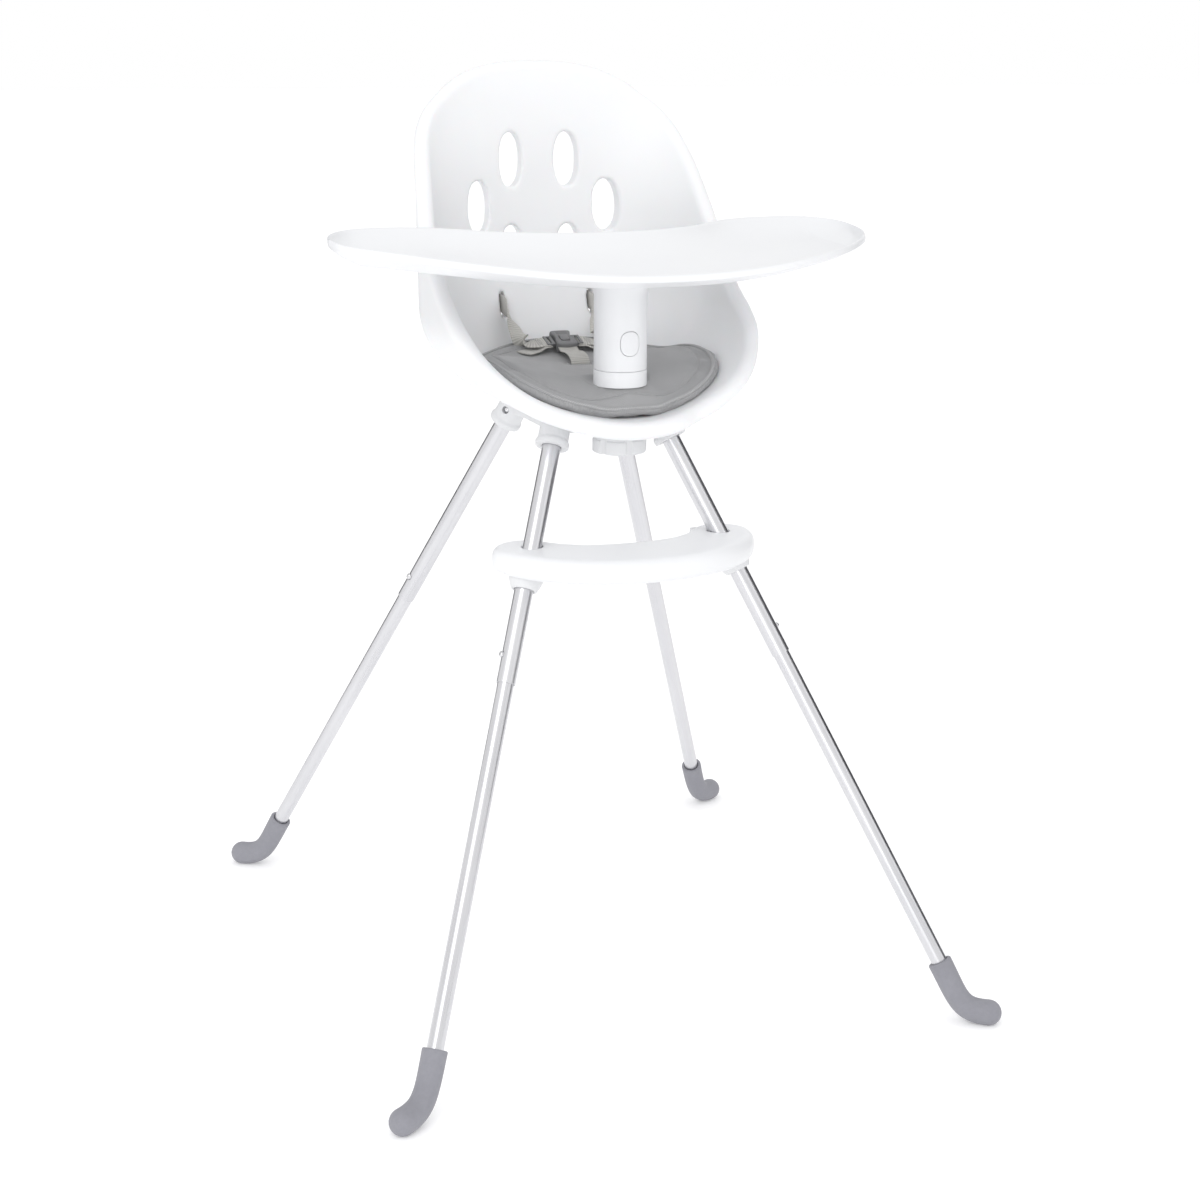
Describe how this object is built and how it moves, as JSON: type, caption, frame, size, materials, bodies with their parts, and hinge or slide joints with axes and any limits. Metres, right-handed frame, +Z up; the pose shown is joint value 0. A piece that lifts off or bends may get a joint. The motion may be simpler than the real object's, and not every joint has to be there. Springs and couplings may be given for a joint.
{
  "type": "baby high chair",
  "caption": "High chair with a moulded bucket seat, padded cushion and waist harness, a lift-off tray on a round post, a curved footrest and splayed telescopic legs with rubber feet.",
  "frame": {"origin": "on the floor at the centre of the rectangle through the outer ends of the feet", "axes": "+Z up, -Y towards the front of the chair (the tray side), +X towards the sitter's left"},
  "size_m": [0.649, 0.7184, 0.9481],
  "materials": {
    "shell_foam": "satin skin of moulded foam",
    "tray_plastic": "smooth moulded plastic, soft gloss",
    "base_plastic": "fine-textured moulded plastic",
    "leg_tube": "satin anodised drawn tube",
    "foot_rubber": "matte rubber with fine texture",
    "pad_fabric": "woven cover over foam with a piped edge",
    "webbing": "woven polyester webbing",
    "buckle_plastic": "fine-textured moulded plastic",
    "steel": "plated steel"
  },
  "bodies": {
    "chair": {"upper_leg_fl": "leg_tube", "lower_leg_fl": "leg_tube", "leg_spring_fl": "steel", "foot_fl": "foot_rubber", "upper_leg_fr": "leg_tube", "lower_leg_fr": "leg_tube", "leg_spring_fr": "steel", "foot_fr": "foot_rubber", "upper_leg_bl": "leg_tube", "lower_leg_bl": "leg_tube", "leg_spring_bl": "steel", "foot_bl": "foot_rubber", "upper_leg_br": "leg_tube", "lower_leg_br": "leg_tube", "leg_spring_br": "steel", "foot_br": "foot_rubber", "seat_base": "base_plastic", "seat_shell": "shell_foam", "seat_clamp_plate": "base_plastic", "seat_screw_1": "steel", "seat_screw_2": "steel", "seat_screw_3": "steel", "seat_screw_4": "steel", "seat_pad": "pad_fabric", "tray_post": "base_plastic", "post_collar": "tray_plastic", "post_lock_ring": "base_plastic", "footrest": "tray_plastic", "footrest_collar_left": "base_plastic", "footrest_collar_right": "base_plastic", "footrest_clip_left": "base_plastic", "footrest_clip_right": "base_plastic", "waist_strap_left": "webbing", "waist_strap_right": "webbing", "strap_tongue_left": "buckle_plastic", "strap_tongue_right": "buckle_plastic", "buckle": "buckle_plastic", "crotch_strap": "webbing"},
    "tray": {"tray": "tray_plastic", "tray_stem": "tray_plastic", "tray_screw_1": "steel", "tray_screw_2": "steel", "tray_screw_3": "steel", "tray_button_spring": "steel"},
    "tray_button": {"tray_button": "tray_plastic"},
    "leg_button_fl": {"leg_button_fl": "steel"},
    "socket_button_fl": {"socket_button_fl": "steel"},
    "leg_button_fr": {"leg_button_fr": "steel"},
    "socket_button_fr": {"socket_button_fr": "steel"},
    "leg_button_bl": {"leg_button_bl": "steel"},
    "socket_button_bl": {"socket_button_bl": "steel"},
    "leg_button_br": {"leg_button_br": "steel"},
    "socket_button_br": {"socket_button_br": "steel"},
    "buckle_button": {"buckle_button": "buckle_plastic"}
  },
  "joints": [
    {"name": "tray_lift", "type": "slide", "parent": "chair", "child": "tray", "axis": [0, 0, 1], "range_m": [0, 0.06]},
    {"name": "tray_button_press", "type": "slide", "parent": "tray", "child": "tray_button", "axis": [0, 1, 0], "range_m": [0, 0.002], "stiffness_N_per_m": 600, "springref_m": -0.0015},
    {"name": "leg_button_fl_press", "type": "slide", "parent": "chair", "child": "leg_button_fl", "axis": [0.9407, -0.1441, -0.307], "range_m": [0, 0.0032], "stiffness_N_per_m": 400, "springref_m": -0.0015},
    {"name": "socket_button_fl_press", "type": "slide", "parent": "chair", "child": "socket_button_fl", "axis": [0.7625, -0.6469, 0], "range_m": [0, 0.0035], "stiffness_N_per_m": 400, "springref_m": -0.0015},
    {"name": "leg_button_fr_press", "type": "slide", "parent": "chair", "child": "leg_button_fr", "axis": [-0.9407, -0.1441, -0.307], "range_m": [0, 0.0032], "stiffness_N_per_m": 400, "springref_m": -0.0015},
    {"name": "socket_button_fr_press", "type": "slide", "parent": "chair", "child": "socket_button_fr", "axis": [-0.7625, -0.6469, 0], "range_m": [0, 0.0035], "stiffness_N_per_m": 400, "springref_m": -0.0015},
    {"name": "leg_button_bl_press", "type": "slide", "parent": "chair", "child": "leg_button_bl", "axis": [0.9407, 0.1441, -0.307], "range_m": [0, 0.0032], "stiffness_N_per_m": 400, "springref_m": -0.0015},
    {"name": "socket_button_bl_press", "type": "slide", "parent": "chair", "child": "socket_button_bl", "axis": [0.7625, 0.6469, 0], "range_m": [0, 0.0035], "stiffness_N_per_m": 400, "springref_m": -0.0015},
    {"name": "leg_button_br_press", "type": "slide", "parent": "chair", "child": "leg_button_br", "axis": [-0.9407, 0.1441, -0.307], "range_m": [0, 0.0032], "stiffness_N_per_m": 400, "springref_m": -0.0015},
    {"name": "socket_button_br_press", "type": "slide", "parent": "chair", "child": "socket_button_br", "axis": [-0.7625, 0.6469, 0], "range_m": [0, 0.0035], "stiffness_N_per_m": 400, "springref_m": -0.0015},
    {"name": "buckle_button_press", "type": "slide", "parent": "chair", "child": "buckle_button", "axis": [0, 0.342, -0.9397], "range_m": [0, 0.0012], "stiffness_N_per_m": 400, "springref_m": -0.0015}
  ]
}
